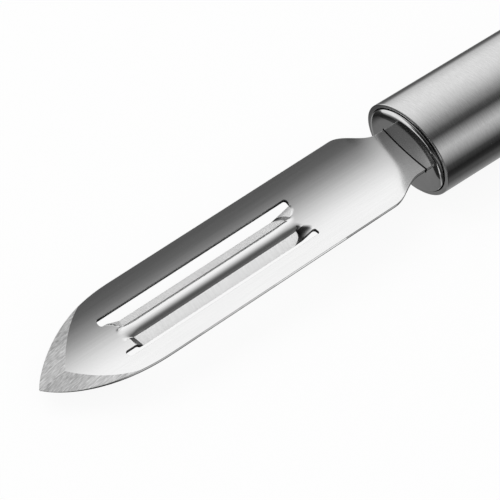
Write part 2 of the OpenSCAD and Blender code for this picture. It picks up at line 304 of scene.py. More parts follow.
# The blade's materials stand in the order of these numbers.
POLISHED, GROUND, TIP, CUT, GROUND_PAINTED_LIGHT, PAINTED_SHADE, GREYISH, FADING, RIM = range(9)
blade_mats = (
    steel("blade_polished", (70, 3500, 900), 0.86, 0.92, (0.10, 0.17), depth=0.6e-6),
    steel("blade_ground", (2600, 260, 260), 0.68, 0.82, (0.36, 0.5), metallic=0.45, depth=4e-6),
    steel("blade_tip_ground", (90, 5000, 5000), 0.38, 0.8, (0.32, 0.48), metallic=0.5, depth=8e-6,
          turn=math.radians(8), detail=2.0, ends=(0.34, 0.66)),
    steel("blade_cut_edge", (300, 300, 5000), 0.5, 0.66, (0.25, 0.4), depth=3e-6),
    # The -Y wing's ground steel: a lighter copy of the +Y wing's, with painted light.
    steel("blade_ground_painted_light", (2600, 260, 260), 0.86, 0.96, (0.36, 0.5), metallic=0.08, depth=4e-6),
    # Near black steel for painted shade: on the strip's end slopes, beside the bead and along the outer
    # walls' lower edge.
    steel("blade_painted_shade", EVEN, 0.06, 0.12, (0.3, 0.45)),
    # Grey steel for painted shade on the +Y side of the near slope.
    steel("blade_slope_grey", EVEN, 0.3, 0.42, (0.3, 0.45)),
    # Steel whose painted shade fades out along the -Y side of the near slope.
    fading_steel("blade_slope_fading", FADE_FROM, FADE_TO),
    steel("blade_rim", (300, 300, 5000), 0.82, 0.9, (0.08, 0.14), depth=1e-6),
)
shell_mat = steel("shell_brushed", (4200, 700, 700), 0.63, 0.76, (0.10, 0.14), depth=0.7e-6)
cap_mat = steel("cap_polished", (500, 900, 900), 0.70, 0.78, (0.07, 0.13), depth=0.4e-6)
pin_mat = steel("pin_turned", (2500, 400, 400), 0.5, 0.6, (0.25, 0.35), depth=1e-6)
polymer = moulded("clamp_polymer_moulded")


# The blade's forms. x and y are arrays of places in plan, before the blade is dipped.


def ease(v):
    """A soft step from 0 to 1."""
    c = np.clip(v, 0, 1)
    return c * c * (3 - 2 * c)


def half_at(x):
    """Half width of the blade."""
    along = np.clip((x + REACH) / TIP_L, 0, 1)
    taper = np.power(1 - np.power(1 - along, TIP_P), TIP_Q)
    shoulder = 1 - ease((x + SHOULDER_FAR) / (SHOULDER_FAR - SHOULDER_NEAR))
    return np.maximum(TIP_ROUND, NECK_W / 2 + (HALF * taper - NECK_W / 2) * shoulder)


def fade(x):
    """Share of the dish that is left: some of it runs on through the neck and ends inside the cap."""
    before = 1 - (1 - NECK_SHARE) * ease((x + FADE_FAR) / (FADE_FAR - CAP_PROUD))
    inside_cap = NECK_SHARE * np.clip((PLUG_L - x) / (PLUG_L + CAP_PROUD), 0, 1)
    return np.where(x < -CAP_PROUD, before, inside_cap)


def dish(x, y):
    """Height of the dished sheet's upper side."""
    return SHEET / 2 + RISE * fade(x) * (y / HALF) ** 2


def pressed(x, y):
    """Height of the upper side of the pressed strip before it is ground."""
    share = ease((x + SLOT_FAR) / RAMP) * ease((-SLOT_NEAR - x) / RAMP)
    return dish(x, y) - share * (SINK + DROP * (y / STRIP) ** 2)


def bead(y):
    """Height of the polished bead."""
    return SHEET / 2 - SINK - BEAD_R + np.sqrt(np.maximum(0.01, BEAD_R**2 - y * y))


EDGE_Z = SHEET / 2 + RISE * (STRIP / HALF) ** 2 - SINK - DROP - SHEET + EDGE_T
BEAD_Z = float(bead(BEAD))


def beside_bead(y):
    """How far a point lies outward of the bead."""
    return np.maximum(0, np.abs(y) - BEAD)


def run_ends(y):
    """Where the wings end toward the tip and toward the handle."""
    out = beside_bead(y)
    return -SLOT_FAR + RUN_FAR + FAR_SKEW * out, -SLOT_NEAR - RUN_NEAR - NEAR_SKEW * out**3


def slope_up(along, slope, bend):
    """Height of a slope that starts gently over the length bend."""
    return slope * np.where(along > 2 * bend, along - bend, np.maximum(0, along) ** 2 / (4 * bend))


def strip_parts(x, y):
    """Height of the dish, height of the bead and wings with their slopes, and nearness to the bead's edge."""
    far, near = run_ends(y)
    side = np.clip(y / BEAD, -1, 1)
    out = beside_bead(y)
    wing = BEAD_Z + (EDGE_Z - BEAD_Z) * (np.abs(y) - BEAD) / (STRIP - BEAD)
    pressed_share = ease((x + SLOT_FAR - RUN_FAR) / RAMP) * ease((-SLOT_NEAR - RUN_NEAR - x) / RAMP)
    lift = SINK * (1 - pressed_share) * np.maximum(0, 1 - out / (STRIP - BEAD))
    slope_far = SLOPE_FAR + SLOPE_SIDE * side + np.where(y < 0, SLOPE_MINUS, SLOPE_PLUS) * out
    bend = BEND_LEAST + BEND_MORE * (1 - side**4)
    low = np.where(np.abs(y) < BEAD, bead(y), wing) + lift
    low = low + slope_up(far - FAR_BOW * (1 - side**2) - x, slope_far, bend)
    low = low + slope_up(x - near, SLOPE_NEAR, bend)
    return dish(x, y), low, np.abs(side)


def strip_top(x, y):
    """The strip's forms lead softly into the dish, most softly at the bead's far end."""
    high, low, side = strip_parts(x, y)
    far_end = ease((-SLOT_FAR + SOFT_REACH - x) / SOFT_FADE) * (1 - side**SOFT_POWER)
    soft = SOFT + SOFT_SIDE * side + SOFT_END * far_end
    overlap = np.maximum(0, soft - np.abs(high - low))
    return np.minimum(high, low) - overlap * overlap / 4 / soft


FACET_X = -REACH + TIP_BEVEL


def arc_y(along):
    """Inner line of a ground facet."""
    return ARC_RISE * along - ARC_BOW * along * along


def facet_out(x, y):
    """About the distance outward of the inner line of the nearer ground facet."""
    along = np.minimum(x - FACET_X, ARC_END)
    return (np.abs(y) - arc_y(along)) / np.sqrt(1 + (ARC_RISE - 2 * ARC_BOW * along) ** 2)


FACET_SLOPE = (SHEET - TIP_EDGE) / float(facet_out(-REACH, 0.0))


def tang_drop(x):
    """Inside the handle the tang is level while the blade dips."""
    return np.maximum(0, x) * math.tan(DIP_A)


def top_at(x, y):
    """Height of the upper side."""
    on_strip = (np.abs(y) < STRIP_SIDE) & (x > -SLOT_FAR) & (x < -SLOT_NEAR)
    z = np.where(on_strip, strip_top(x, y), dish(x, y))
    ground_tip = dish(x, y) - FACET_SLOPE * np.maximum(0, facet_out(x, y))
    return np.where(x < TIP_ZONE, np.minimum(z, ground_tip), z) - tang_drop(x)


def bottom_at(x, y):
    """Height of the underside. Under the slopes at the strip's ends the sheet keeps its thickness."""
    near_strip = (np.abs(y) < STRIP_SIDE) & (x > -SLOT_FAR - 2) & (x < -SLOT_NEAR + 2)
    z = np.where(near_strip, pressed(x, y), dish(x, y))
    far, near = run_ends(y)
    on_wing = (np.abs(y) < STRIP_SIDE) & (np.abs(y) > BEAD) & (x > -SLOT_FAR) & (x < -SLOT_NEAR)
    z = np.where(on_wing & ((x < far) | (x > near)), np.maximum(z, strip_top(x, y)), z)
    return z - SHEET - tang_drop(x)


# The blade's mesh

RIM_STEP = 0.32  # distance between the points along the rims
PROBE = 0.02  # length over which the outline's slope is taken
NOSE_TURN = 75  # angle in degrees of the nose's rounding up to where the outline takes over
NOSE_L = 0.6  # within this the nose's rounding may be wider than the outline
NECK_START = -0.9  # from here on the outline is straight and has wider steps
ROUND_SHARES = (0, 0.134, 0.5, 1.0)  # lines that follow the rims, as shares of the rounding
NEAR_RIM = 0.5  # points within this distance may lie on the rounding
NUDGE = 0.01  # a point this far inside a rim tells the sheet's thickness there
SLOPES = ((-SLOT_FAR - 0.3, -SLOT_FAR + 5.0), (-SLOT_NEAR - 6.0, -SLOT_NEAR + 0.3))  # where both slopes lie
FACET_LINE_L, FACET_STEP = 14, 0.25  # length and step of the ground facets' inner lines
LINE_STEP = 0.3  # step of the other lines along X
SLOPE_STEP, SLOPE_ROW = 0.18, 0.16  # distances along X and Y between the points on the slopes
SHEET_STEP, SHEET_ROW = 0.5, 0.43  # the same over the rest of the blade
TANG_STEP = 1.5  # distance along X over the tang, where every third row has points
SLOPE_FREE, SHEET_FREE = 0.09, 0.24  # how far these points keep from the lines
TO_MIDDLE = 0.06  # share of the way to the middle of a triangle at which its corners' normals are taken


def outline_loop():
    """Blade outline in plan, anticlockwise, from the tip along -Y."""
    side = []
    for angle in np.linspace(0, NOSE_TURN, 8):
        t = math.radians(angle)
        side.append((-REACH + TIP_ROUND * (1 - math.cos(t)), TIP_ROUND * math.sin(t)))
    x, y = side[-1]
    while x < NECK_START:
        ahead = float(half_at(x + PROBE))
        slope = (ahead - y if ahead > y else ahead - float(half_at(x))) / PROBE
        x += RIM_STEP / math.sqrt(1 + slope * slope)
        y = max(y, float(half_at(x))) if x < -REACH + NOSE_L else float(half_at(x))
        side.append((x, y))
    end_x = TANG_END * math.cos(DIP_A)
    side.extend([(x, NECK_W / 2) for x in np.arange(0.0, TANG_END, TANG_STEP)])
    side.append((end_x, NECK_W / 2))
    end = [(end_x, y) for y in np.linspace(-NECK_W / 2, NECK_W / 2, 9)[1:-1]]
    return np.array([(x, -y) for x, y in side[1:]] + end + side[::-1])


def slot_loop(sign):
    """One slot in plan, clockwise seen from above, so that the sheet lies to its left."""
    x0, x1 = -SLOT_FAR + SLOT_R, -SLOT_NEAR - SLOT_R
    y0, y1 = STRIP + SLOT_R, STRIP + SLOT_W - SLOT_R
    corners = []
    for cx, cy, start in ((x0, y0, 180), (x1, y0, 270), (x1, y1, 0), (x0, y1, 90)):
        for angle in np.linspace(start, start + 90, 7):
            t = math.radians(angle)
            corners.append((cx + SLOT_R * math.cos(t), cy + SLOT_R * math.sin(t)))
    loop = []
    for p, q in zip(corners, corners[1:] + corners[:1]):
        n = max(1, int(math.dist(p, q) / RIM_STEP))
        loop.extend([(p[0] + (q[0] - p[0]) * k / n, p[1] + (q[1] - p[1]) * k / n) for k in range(n)])
    loop = np.array(loop)
    return loop[::-1] if sign > 0 else loop * (1, -1)


def left_normals(loop):
    along = np.roll(loop, -1, 0) - np.roll(loop, 1, 0)
    return unit(np.stack([-along[:, 1], along[:, 0]], 1))


def rim_radius(loop, inward):
    """Radius of the rounding at each point of a rim."""
    x, y = (loop + NUDGE * inward).T
    return np.clip(EDGE_SHARE * (top_at(x, y) - bottom_at(x, y)), EDGE_LEAST, EDGE_R)


def search_tree(points):
    tree = KDTree(len(points))
    for i, (x, y) in enumerate(points):
        tree.insert((x, y, 0), i)
    tree.balance()
    return tree


def crease_lines():
    """Lines in plan where the upper side has a crease or changes its shade."""
    for sign in (1, -1):
        xs = np.arange(FACET_X, FACET_X + FACET_LINE_L, FACET_STEP)
        ys = arc_y(xs - FACET_X)
        on_blade = ys < half_at(xs) + 0.25
        yield np.stack([xs[on_blade], sign * ys[on_blade]], 1)
        xs = np.arange(-SLOT_FAR + 0.3, -SLOT_NEAR - 0.2, LINE_STEP)
        yield np.stack([xs, np.full_like(xs, sign * BEAD)], 1)
        # The edge of the painted shade line beside the bead.
        if sign > 0:
            yield np.stack([xs, np.full_like(xs, BEAD - SHADE_LINE)], 1)
        ys = np.linspace(0, STRIP + 0.02, 26)
        for xs in run_ends(ys):
            yield np.stack([xs, sign * ys], 1)
    xs = [*np.arange(-REACH + 0.15, FACET_X + 0.01, LINE_STEP), FACET_X]
    yield np.stack([xs, np.zeros(len(xs))], 1)


def slope_points():
    """Close points on the slopes at both ends of the strip."""
    for start, end in SLOPES:
        for row, y in enumerate(np.arange(-STRIP + 0.1, STRIP, SLOPE_ROW)):
            for x in np.arange(start + SLOPE_STEP / 2 * (row % 2), end, SLOPE_STEP):
                yield x, y


def sheet_points():
    """Points in rows over the rest of the blade, and wider ones over the tang."""
    for row, y in enumerate(np.arange(-HALF, HALF, SHEET_ROW)):
        for x in np.arange(-REACH + SHEET_STEP / 2 * (row % 2), 0.2, SHEET_STEP):
            on_slope = abs(y) < STRIP and any(start - 0.1 < x < end + 0.1 for start, end in SLOPES)
            if not on_slope and abs(y) < float(half_at(x)) - 0.1:
                yield x, y
        if row % 3 == 0 and abs(y) < NECK_W / 2 - 0.3:
            for x in np.arange(TANG_STEP, TANG_END - 1, TANG_STEP):
                yield x, y


def sheet_plan(loops, inward, radii):
    """Points and edges in plan: the rims with their rounding, the creases and the filling points."""
    points, edges = [], []

    def add_line(line, closed=False):
        first = len(points)
        points.extend([(float(x), float(y)) for x, y in line])
        edges.extend([(i, i + 1) for i in range(first, len(points) - 1)])
        if closed:
            edges.append((len(points) - 1, first))

    for loop, inner, radius in zip(loops, inward, radii):
        for share in ROUND_SHARES:
            add_line(loop + inner * (radius * share)[:, None], True)
    for line in crease_lines():
        add_line(line)
    tree = search_tree(points)
    points.extend([(x, y) for x, y in slope_points() if tree.find((x, y, 0))[2] > SLOPE_FREE])
    points.extend([(x, y) for x, y in sheet_points() if tree.find((x, y, 0))[2] > SHEET_FREE])
    return points, edges


def within(loop, points):
    """Which points lie inside a loop."""
    x, y = points.T
    inside = np.zeros(len(points), bool)
    for (x0, y0), (x1, y1) in zip(loop, np.roll(loop, -1, 0)):
        if y0 != y1:
            inside ^= ((y0 > y) != (y1 > y)) & (x < (x1 - x0) * (y - y0) / (y1 - y0) + x0)
    return inside


def triangulate(points, edges, loops):
    """Points and triangles of the sheet in plan, anticlockwise, without those in the slots and outside."""
    found = geometry.delaunay_2d_cdt([Vector(p) for p in points], edges, [], 0, 1e-5)
    plan = np.array([(v[0], v[1]) for v in found[0]])
    tri = np.array([f for f in found[2] if len(f) == 3])
    a, b, c = plan[tri[:, 0]], plan[tri[:, 1]], plan[tri[:, 2]]
    area = np.cross(b - a, c - a)
    middle = plan[tri].mean(1)
    keep = within(loops[0], middle) & ~within(loops[1], middle) & ~within(loops[2], middle)
    keep &= np.abs(area) > 1e-9
    tri, area = tri[keep], area[keep]
    tri[area < 0] = tri[area < 0][:, ::-1]
    used, tri = np.unique(tri, return_inverse=True)
    return plan[used], tri.reshape(-1, 3)


def rounding(plan, rim, rim_inward, rim_radii):
    """For each point: how steep the rounding is, from 0 to 1, how far it drops, and the way out."""
    steep, drop, outward = np.zeros(len(plan)), np.zeros(len(plan)), np.zeros((len(plan), 3))
    tree = search_tree(rim)
    for i, (x, y) in enumerate(plan):
        _, j, distance = tree.find((x, y, 0))
        if distance < NEAR_RIM:
            radius = rim_radii[j]
            depth = abs((plan[i] - rim[j]) @ rim_inward[j]) if distance > 1e-6 else 0.0
            outward[i, :2] = -rim_inward[j]
            steep[i] = (radius - depth) / radius if depth < radius - 1e-7 else 0
            drop[i] = radius * (1 - math.sqrt(1 - steep[i] ** 2))
    return steep, drop, outward


def corner_normals(height, sign, plan, tri, steep, outward):
    """Normals at the three corners of every triangle, taken just inside the triangle."""
    middle = plan[tri].mean(1)[:, None, :]
    x, y = np.moveaxis(plan[tri] * (1 - TO_MIDDLE) + middle * TO_MIDDLE, -1, 0)
    step = 1e-3
    rise_x = (height(x + step, y) - height(x - step, y)) / (2 * step)
    rise_y = (height(x, y + step) - height(x, y - step)) / (2 * step)
    flat = unit(np.stack([-rise_x * sign, -rise_y * sign, np.full_like(rise_x, sign)], -1))
    share = steep[tri][..., None]
    return unit(flat * np.sqrt(1 - share**2) + outward[tri] * share)


def top_looks(x, y):
    """Material of each triangle of the upper side, from its middle, with painted shade on the strip's end
    slopes and beside the bead.
    """
    far, near = run_ends(y)
    high, low, _ = strip_parts(x, y)
    out = beside_bead(y)
    strip = np.abs(y) < STRIP_SIDE
    plus_wing = strip & (y > BEAD)
    running = (x > far) & (x < near)
    ground = strip & (np.abs(y) > BEAD) & running
    far_end = (x <= far) & (x > -SLOT_FAR)
    # Masks of painted dark shade on the slopes at the strip's ends.
    far_dark = (x <= far) & (x > -SLOT_FAR + RUN_FAR - FAR_DARK + FAR_LEAN * out)
    rising = strip & (x >= near) & (x < -SLOT_NEAR) & (low < high - NEAR_EDGE)
    near_dark = rising | (x >= near) & (x < -SLOT_NEAR - NEAR_DARK - NEAR_LEAN * out)
    # Grey painted shade on the +Y side of the near slope, next to the wing.
    greyish = plus_wing & rising & (x < near + NEAR_GREY)
    ground |= plus_wing & far_end & (low < high - FLANK_EDGE) | plus_wing & rising & ~greyish
    # Painted shade that fades out toward the handle on the -Y side of the near slope.
    fading = (y < 0) & rising & (x > near + NEAR_PLAIN)
    # Near black painted shade on the -Y parts of both end slopes.
    dark = strip & ((y < -BEAD) & far_dark | (y < -BEAD_DARK * BEAD) & near_dark)
    # A line of painted groove shade along the +Y side of the bead.
    dark |= (y > BEAD - SHADE_LINE) & (y < BEAD) & running
    # A painted dark line along the +Y wing's far end.
    dark |= strip & (y > BEAD + FLANK_IN) & far_end & (np.abs(low - high) <= FLANK_EDGE)
    tip = (facet_out(x, y) > 0) & (x < TIP_ZONE)
    # The -Y wing's ground part takes the lighter copy of the ground steel, which is painted light.
    return np.select([tip, ground & (y > 0), ground, fading, dark, greyish],
                     [TIP, GROUND, GROUND_PAINTED_LIGHT, FADING, PAINTED_SHADE, GREYISH], POLISHED)


def open_edges(tri):
    """Edges that belong to one triangle only, in its direction."""
    edges = [(int(t[k]), int(t[(k + 1) % 3])) for t in tri for k in range(3)]
    known = set(edges)
    return [(a, b) for a, b in edges if (b, a) not in known]


def rim_walls(edges, plan, z_top, z_bottom, outward):
    """Walls along the open edges, and the points that are added for them.
    The outer walls are bright, with a thin line of painted shade along their lower edge."""
    n = len(plan)
    shade_start, added = {}, []
    for i in np.array(edges).ravel():
        outer = abs(plan[i][1]) > STRIP + SLOT_W + 0.1 or plan[i][0] < -SLOT_FAR - 1
        if outer and i not in shade_start:
            shade_start[i] = 2 * n + len(added)
            added.append((*plan[i], z_bottom[i] + WALL_SHADE * (z_top[i] - z_bottom[i])))
    faces, normals, looks = [], [], []
    for a, b in edges:
        bands = [(a, b, CUT), (a + n, b + n, CUT)]
        # The outer walls carry painted shade over their lower band.
        if a in shade_start and b in shade_start:
            bands = [(a, b, RIM), (shade_start[a], shade_start[b], PAINTED_SHADE), (a + n, b + n, PAINTED_SHADE)]
        for (a0, b0, look), (a1, b1, _) in zip(bands, bands[1:]):
            faces.append((b0, a0, a1, b1))
            normals.extend((outward[b], outward[a], outward[a], outward[b]))
            looks.append(look)
    return faces, normals, looks, added


def make_blade():
    """The stamped sheet: upper side, underside and walls."""
    loops = [outline_loop(), slot_loop(1), slot_loop(-1)]
    inward = [left_normals(loop) for loop in loops]
    radii = [rim_radius(loop, inner) for loop, inner in zip(loops, inward)]
    plan, tri = triangulate(*sheet_plan(loops, inward, radii), loops)
    steep, drop, outward = rounding(plan, *(np.concatenate(part) for part in (loops, inward, radii)))
    z_top = top_at(*plan.T) - drop
    z_bottom = bottom_at(*plan.T) + drop
    walls, wall_normals, wall_looks, added = rim_walls(open_edges(tri), plan, z_top, z_bottom, outward)
    points = np.concatenate([np.column_stack([plan, z_top]), np.column_stack([plan, z_bottom]), added])
    faces = [*tri, *(tri[:, (0, 2, 1)] + len(plan)), *walls]
    top_normals = corner_normals(top_at, 1, plan, tri, steep, outward)
    bottom_normals = corner_normals(bottom_at, -1, plan, tri, steep, outward)[:, (0, 2, 1)]
    normals = np.concatenate([top_normals.reshape(-1, 3), bottom_normals.reshape(-1, 3), wall_normals])
    looks = [*top_looks(*plan[tri].mean(1).T), *[POLISHED] * len(tri), *wall_looks]
    # The sheet is dipped about the middle of the front rim.
    c, s = math.cos(DIP_A), math.sin(DIP_A)
    dip = np.array([[c, 0, -s], [0, 1, 0], [s, 0, c]])
    return new_object("blade_sheet", place(points @ dip.T), faces, normals @ dip.T, blade_mats, looks)


# The handle's shell and front cap

SHELL_POINTS = 360
CAP_POINTS = 288


def lathe(profile, count, flat):
    """Points, quads and corner normals of an oval turned form with count points in each ring.
    profile is a list of (x, r, nx, nr, x2, r2, nx2, nr2) strips, each with its normals at both ends.
    flat(x) gives the level below which the form is cut off."""
    turns = np.linspace(0, 2 * math.pi, count, endpoint=False)
    rings, points, cut, faces, normals = {}, [], [], [], []

    def ring(x, r):
        key = (round(x, 5), round(r, 5))
        if key not in rings:
            rings[key] = len(points)
            for t in turns:
                z = OVAL * r * math.cos(t)
                points.append((x, r * math.sin(t), max(z, flat(x))))
                cut.append(z <= flat(x))
        return rings[key]

    def normal(nx, nr, t, level):
        if level:
            return (nx, 0.0, -abs(nr)) if nr > 0.01 else (nx, 0.0, 0.0)
        return tuple(unit((nx, nr * math.sin(t), nr * math.cos(t) / OVAL)))

    for x, r, nx, nr, x2, r2, nx2, nr2 in profile:
        a, b = ring(x, r), ring(x2, r2)
        for k in range(count):
            k2 = (k + 1) % count
            quad = (a + k, b + k, b + k2, a + k2)
            level = all(cut[i] for i in quad)
            faces.append(quad)
            normals.extend((normal(nx, nr, turns[k], level), normal(nx2, nr2, turns[k], level),
                            normal(nx2, nr2, turns[k2], level), normal(nx, nr, turns[k2], level)))
    return points, faces, normals


def arc(cx, cr, radius, start, end, n):
    """Strips of a rounded edge; angle 0 points along +X and 90 away from the axis."""
    ends = []
    for k in range(n + 1):
        t = math.radians(start + (end - start) * k / n)
        ends.append((cx + radius * math.cos(t), cr + radius * math.sin(t), math.cos(t), math.sin(t)))
    return [(*p, *q) for p, q in zip(ends, ends[1:])]


def straight(x, r, x2, r2, n=1):
    """Strips of a straight line, with the outside to its left."""
    dx, dr = unit((x2 - x, r2 - r))
    ends = [(x + (x2 - x) * k / n, r + (r2 - r) * k / n, -dr, dx) for k in range(n + 1)]
    return [(*p, *q) for p, q in zip(ends, ends[1:])]


def make_shell():
    """The handle's tube with a socket at each end."""
    slope = math.tan(math.radians(EASE_SLOPE))

    def flat(x):
        return REST_CUT - RIM_HALF * OVAL + slope * max(0, REST_EASE - x, x - SHELL_L + REST_EASE)

    rear = SHELL_L - PLUG_L
    profile = [
        *arc(BORE_R, BORE_HALF + BORE_R, BORE_R, 270, 180, 5),
        *straight(0, BORE_HALF + BORE_R, 0, RIM_HALF - FRONT_R),
        *arc(FRONT_R, RIM_HALF - FRONT_R, FRONT_R, 180, 90, 8),
        *straight(FRONT_R, RIM_HALF, REST_EASE, RIM_HALF, 3),
        *straight(REST_EASE, RIM_HALF, SHELL_L - REST_EASE, RIM_HALF, 40),
        *straight(SHELL_L - REST_EASE, RIM_HALF, SHELL_L - RIM_R, RIM_HALF, 3),
        *arc(SHELL_L - RIM_R, RIM_HALF - RIM_R, RIM_R, 90, 0, 8),
        *straight(SHELL_L, RIM_HALF - RIM_R, SHELL_L, BORE_HALF),
        *straight(SHELL_L, BORE_HALF, rear, BORE_HALF),
        *straight(rear, BORE_HALF, rear, INNER_HALF),
        *straight(rear, INNER_HALF, PLUG_L, INNER_HALF, 20),
        *straight(PLUG_L, INNER_HALF, PLUG_L, BORE_HALF),
        *straight(PLUG_L, BORE_HALF, BORE_R, BORE_HALF),
    ]
    points, faces, normals = lathe(profile, SHELL_POINTS, flat)
    return new_object("shell_tube", place(points), faces, normals, (shell_mat,))


SLOT_HALF_Y, SLOT_HALF_Z = NECK_W / 2 + NECK_GAP, SHEET / 2 + NECK_GAP


def cap_rings():
    """Place, inset and tilt of each ring of the cap, from its face over the shoulder to the plug's end."""
    steps = 20
    for k in range(steps + 1):
        t = math.radians(CAP_TURN * k / steps)
        c, s = math.cos(t), math.sin(t)
        yield -CAP_PROUD * c, CAP_ROUND * (1 - s), CAP_ROUND * c, CAP_PROUD * s
    groove = CAP_ROUND * (1 - math.sin(math.radians(CAP_TURN))) + CAP_SETBACK
    for x in (GROOVE_START, GROOVE_END):
        yield x, groove, 0, 1
    for x in (PLUG_START, PLUG_L / 2, PLUG_L):
        yield x, 0, 0, 1


def slot_outline():
    """Points round the cap's slot, before it is bent."""
    y, z = SLOT_HALF_Y, SLOT_HALF_Z
    for (y0, z0), (y1, z1), n in (((-y, -z), (y, -z), 24), ((y, -z), (y, z), 4),
                                  ((y, z), (-y, z), 24), ((-y, z), (-y, -z), 4)):
        for k in range(n):
            yield y0 + (y1 - y0) * k / n, z0 + (z1 - z0) * k / n


def slot_bend(x, y):
    """How far the slot is raised to follow the dish of the neck."""
    return float(dish(np.array(x), np.array(y))) - SHEET / 2


def make_front_cap():
    """The cap's shoulder is as wide at the top as at the sides, so its rings are no scaled copies."""
    count = CAP_POINTS
    turns = np.linspace(0, 2 * math.pi, count, endpoint=False)
    points, faces, normals, ring_normals = [], [], [], []
    for x, inset, tilt_x, tilt_out in cap_rings():
        a, b = PLUG_HALF - inset, PLUG_HALF * OVAL - inset
        points.extend([(x, a * math.sin(t), b * math.cos(t)) for t in turns])
        ring_normals.append(unit([(-tilt_x * (a * math.cos(t) ** 2 + b * math.sin(t) ** 2),
                                   tilt_out * b * math.sin(t), tilt_out * a * math.cos(t)) for t in turns]))
    for i, (one, two) in enumerate(zip(ring_normals, ring_normals[1:])):
        for k in range(count):
            k2 = (k + 1) % count
            faces.append((i * count + k, (i + 1) * count + k, (i + 1) * count + k2, i * count + k2))
            normals.extend((one[k], two[k], two[k2], one[k2]))
    slot = list(slot_outline())

    def face_plate(x, ring_start, side):
        """A flat face with the slot in it, joined to the ring of points that starts at ring_start."""
        slot_start = len(points)
        points.extend([(x, y, z + slot_bend(x, y)) for y, z in slot])
        ids = [*range(ring_start, ring_start + count), *range(slot_start, len(points))]
        flat = [Vector(points[i][1:]) for i in ids]
        edges = [(i, (i + 1) % count) for i in range(count)]
        edges += [(count + i, count + (i + 1) % len(slot)) for i in range(len(slot))]
        found = geometry.delaunay_2d_cdt(flat, edges, [], 0, 1e-6)
        back = [source[0] for source in found[3]]
        for face in found[2]:
            a, b, c = (back[i] for i in face)
            middle = (flat[a] + flat[b] + flat[c]) / 3
            if abs(middle[0]) < SLOT_HALF_Y and abs(middle[1] - slot_bend(x, middle[0])) < SLOT_HALF_Z:
                continue
            anticlockwise = (flat[b] - flat[a]).cross(flat[c] - flat[a]) > 0
            faces.append([ids[i] for i in ((a, b, c) if anticlockwise == (side > 0) else (c, b, a))])
            normals.extend([(side, 0, 0)] * 3)
        return slot_start

    rear_ring = len(points) - count
    front = face_plate(-CAP_PROUD, 0, -1)
    rear = face_plate(PLUG_L, rear_ring, 1)
    for i, (y0, z0) in enumerate(slot):
        j = (i + 1) % len(slot)
        dy, dz = unit((slot[j][0] - y0, slot[j][1] - z0))
        faces.append((front + i, rear + i, rear + j, front + j))
        normals.extend([(0, -dz, dy)] * 4)
    return new_object("front_cap_turned", place(points), faces, normals, (cap_mat,))


blade_ob = make_blade()
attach(blade_ob, "root")
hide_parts("blade")
shell_ob = make_shell()
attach(shell_ob, "root")
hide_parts("handle_shell")
cap_ob = make_front_cap()
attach(cap_ob, "root")
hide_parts("front_cap")
CAD_MATERIALS = {"rear_cap": cap_mat, "tang_pin": pin_mat, "clamp_top": polymer, "clamp_bottom": polymer}
for node_name, node_mat in CAD_MATERIALS.items():
    for slot_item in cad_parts[node_name].material_slots:
        slot_item.material = node_mat


# The studio. The tent's levels go by the angle round the X axis in degrees: 0 is straight up, and the
# camera stands on the minus side. Each set of levels holds for a stretch of the tent along X.

TENT_R = 3.0  # radius of the tent in metres
TENT_END = 9.0  # half its length in metres
TENT_TURN = 100  # how far it comes down on each side, in degrees
TENT_PARTS, TENT_RINGS = 96, 25
FRONT_STOPS = [(-100, 0.10), (-75, 0.12), (-47, 0.14), (-23, 0.09), (-11, 0.10), (-4, 0.13), (0, 0.19),
               (4, 0.26), (7, 0.29), (11, 0.38), (16, 0.48), (21, 0.6), (26, 0.69), (31, 0.79), (36, 0.86),
               (40, 0.91), (45, 0.97), (52, 1.0), (100, 1.0)]
REAR_STOPS = [(-100, 0.03), (-87, 0.03), (-75, 0.06), (-64, 0.22), (-54, 0.41), (-44, 0.59), (-35, 0.70),
              (-26, 0.53), (-17, 0.28), (-9, 0.05), (-1, 0.10), (5, 0.24), (13, 0.4), (20, 0.57), (28, 0.74),
              (35, 0.85), (42, 0.93), (50, 1.0), (65, 1.0), (73, 0.98), (82, 0.87), (91, 0.75), (100, 0.6)]
# The next three stretches, toward the blade's tip and beyond, show mostly in the cap's face and shoulder.
NEAR_STOPS = [(-100, 0.1), (-78, 0.12), (-70, 0.2), (-62, 0.22), (-44, 0.06), (-17, 0.02), (-4, 0.06),
              (6, 0.1), (15, 0.17), (27, 0.32), (39, 0.47), (50, 0.55), (60, 0.7), (72, 1.0), (100, 1.0)]
END_STOPS = [(-100, 0.06), (-76, 0.08), (-66, 0.2), (-58, 0.2), (-45, 0.05), (-20, 0.012), (20, 0.015),
             (34, 0.03), (42, 0.04), (50, 0.2), (57, 0.6), (70, 1.0), (100, 1.0)]
LAST_STOPS = [(-100, 0.04), (-74, 0.06), (-66, 0.3), (-60, 0.3), (-50, 0.05), (-45, 0.04), (-20, 0.01),
              (60, 0.015), (100, 0.1)]
# Beyond the handle the levels go by the height, in tent radii: bright above a dark band along the horizon.
FAR_STOPS = [(-0.3, 0.02), (0.25, 0.02), (0.4, 0.1), (0.55, 0.75), (1.0, 0.9)]
# Where along X, in tent radii, each further set of levels takes over from those before it.
TAKE_OVERS = ((0.53, 0.63, REAR_STOPS), (0.9, 1.4, FAR_STOPS), (0.02, -0.2, NEAR_STOPS),
              (-0.62, -0.88, END_STOPS), (-1.9, -2.4, LAST_STOPS))

